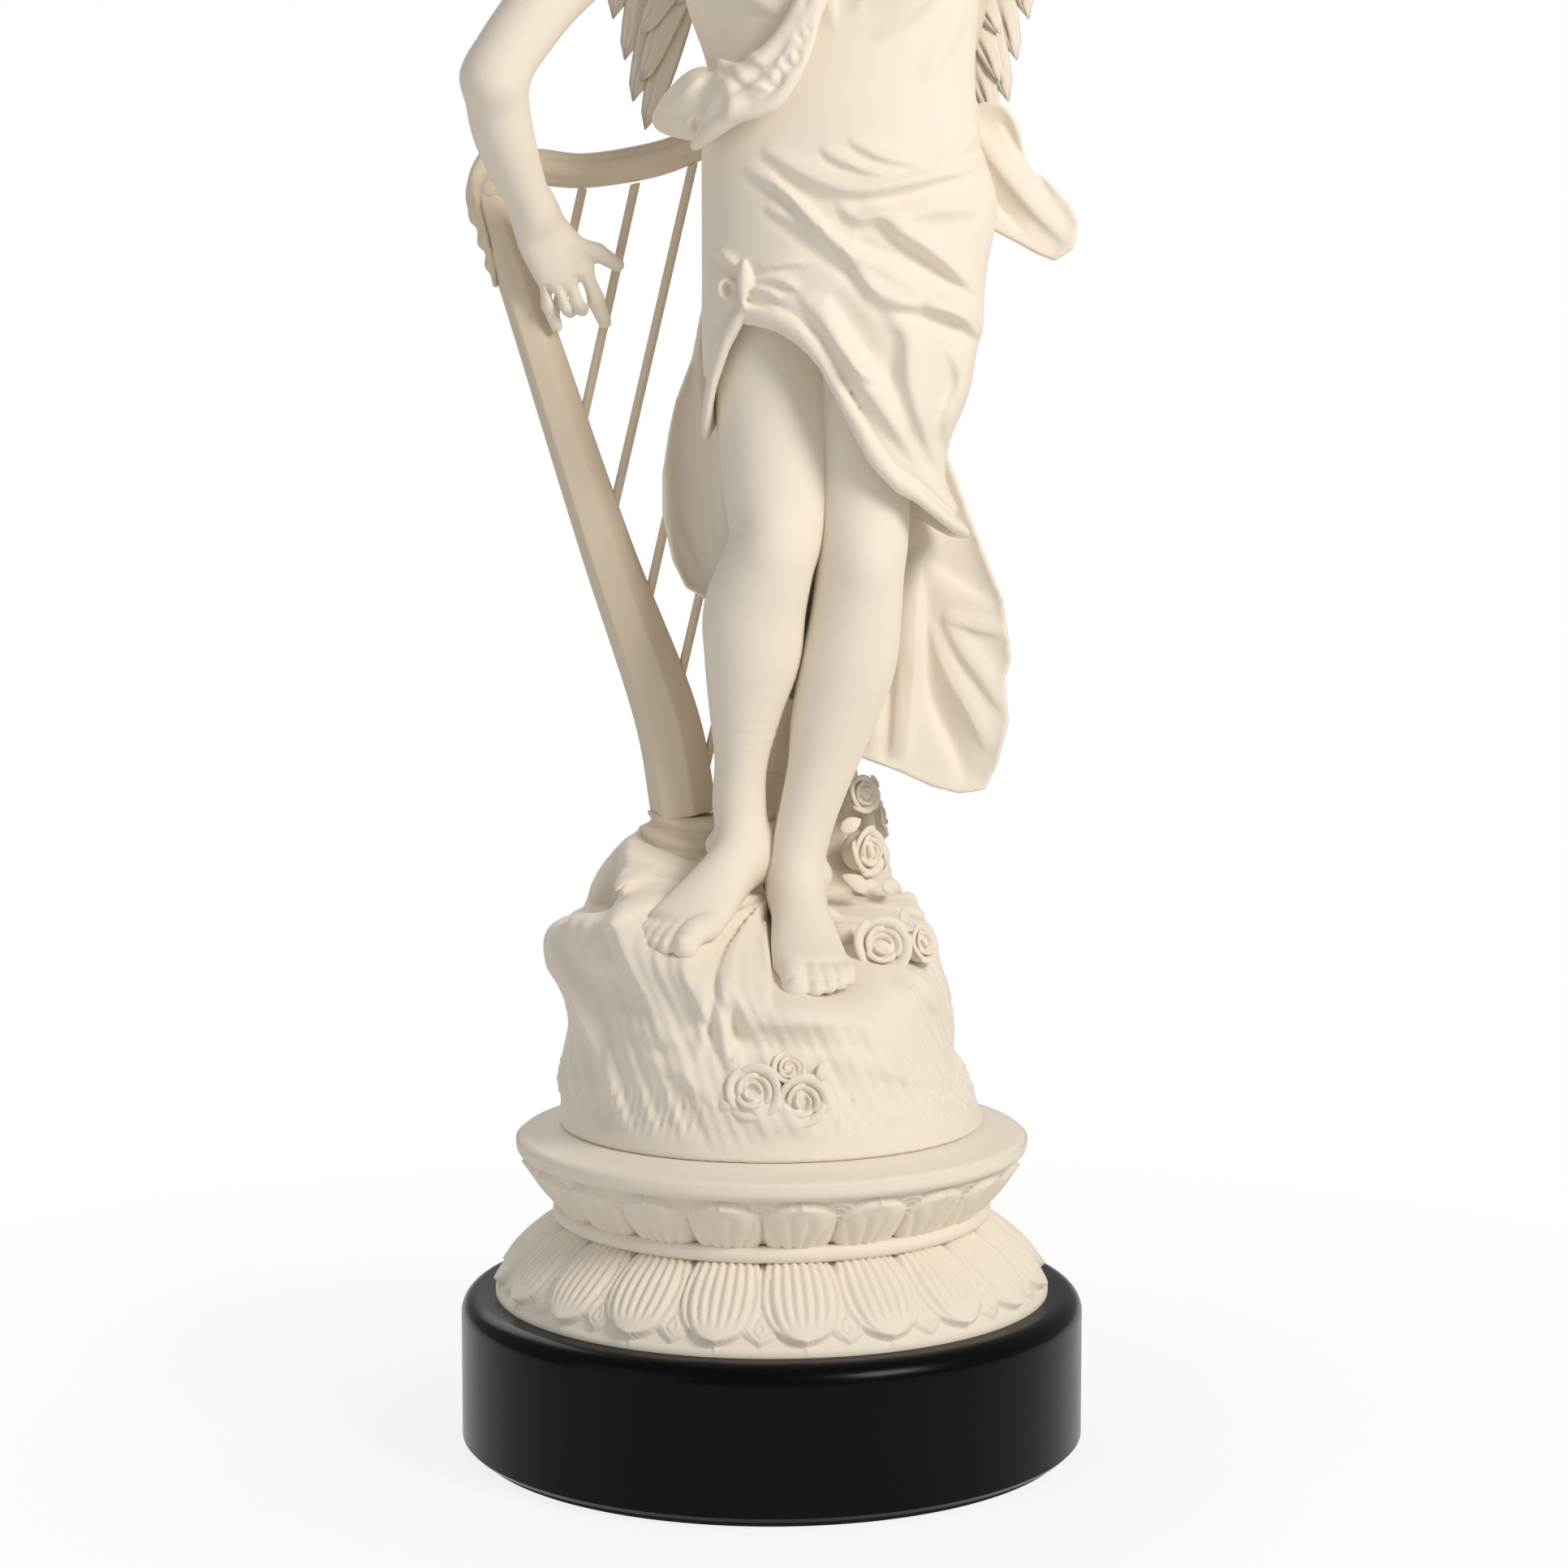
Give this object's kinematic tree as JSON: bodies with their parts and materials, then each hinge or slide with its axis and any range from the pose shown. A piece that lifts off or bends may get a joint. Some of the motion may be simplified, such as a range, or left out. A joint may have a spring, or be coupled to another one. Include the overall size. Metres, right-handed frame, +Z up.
{
  "type": "figural table lamp",
  "caption": "Table lamp whose stem is a winged musician in a short tunic playing a harp on a rose-grown rock, over a lotus-petal pedestal and a turned round plinth, under a cone shade.",
  "frame": {"origin": "middle of the plinth's flat underside, on the surface the lamp stands on", "axes": "+Z up along the plinth's axis; the figure faces -Y; +X to the viewer's right"},
  "size_m": [0.3299, 0.33, 0.8187],
  "materials": {
    "ivory_bisque": "matte",
    "harp_bisque": "matte",
    "black_lacquer": "satin",
    "felt": "matte",
    "brass": "satin",
    "bushing_plastic": "matte",
    "steel": "satin",
    "paper_liner": "matte",
    "knob_plastic": "gloss",
    "insert_plastic": "matte",
    "bulb_cap": "satin",
    "bulb_glass": "satin",
    "shade_linen": "matte"
  },
  "bodies": {
    "root": {"plinth": "black_lacquer", "felt_pad": "felt", "cord_bushing": "bushing_plastic", "lotus_pedestal": "ivory_bisque", "rock_mound": "ivory_bisque", "rose_stump": "ivory_bisque", "rock_roses": "ivory_bisque", "stump_roses": "ivory_bisque", "right_leg": "ivory_bisque", "left_leg": "ivory_bisque", "tunic_skirt": "ivory_bisque", "draped_torso": "ivory_bisque", "sash": "ivory_bisque", "train_drape": "ivory_bisque", "side_drape": "ivory_bisque", "hip_drape": "ivory_bisque", "right_arm": "ivory_bisque", "left_arm": "ivory_bisque", "head": "ivory_bisque", "hair": "ivory_bisque", "right_wing": "ivory_bisque", "left_wing": "ivory_bisque", "harp_foot": "harp_bisque", "harp_soundbox": "harp_bisque", "harp_neck": "harp_bisque", "harp_pillar": "harp_bisque", "harp_strings": "harp_bisque", "lamp_pipe": "brass", "lamp_harp": "brass", "harp_saddle": "brass", "socket_cap": "brass", "socket_shell": "brass", "base_washer": "steel", "base_nut": "steel", "saddle_nut": "steel", "insulating_sleeve": "paper_liner", "socket_insert": "insert_plastic", "bulb_base": "bulb_cap", "bulb_glass": "bulb_glass"},
    "switch_knob": {"switch_knob": "knob_plastic"},
    "shade": {"shade_shell": "shade_linen", "shade_ring_bottom": "brass", "shade_ring_top": "brass", "shade_spider": "brass"},
    "finial": {"finial": "brass"},
    "harp_sleeve_left": {"harp_sleeve_left": "brass"},
    "harp_sleeve_right": {"harp_sleeve_right": "brass"}
  },
  "joints": [
    {"name": "switch_turn", "type": "hinge", "parent": "root", "child": "switch_knob", "pos_m": [0.012, 0.0185, 0.6185], "axis": [0, -1, 0], "continuous": true},
    {"name": "shade_turn", "type": "hinge", "parent": "root", "child": "shade", "pos_m": [0.012, 0.036, 0.7815], "axis": [0, 0, 1], "continuous": true},
    {"name": "finial_turn", "type": "hinge", "parent": "root", "child": "finial", "pos_m": [0.012, 0.036, 0.7843], "axis": [0, 0, 1], "continuous": true},
    {"name": "sleeve_lift_left", "type": "slide", "parent": "root", "child": "harp_sleeve_left", "axis": [0, 0, 1], "range_m": [0, 0.0115]},
    {"name": "sleeve_lift_right", "type": "slide", "parent": "root", "child": "harp_sleeve_right", "axis": [0, 0, 1], "range_m": [0, 0.0115]}
  ]
}
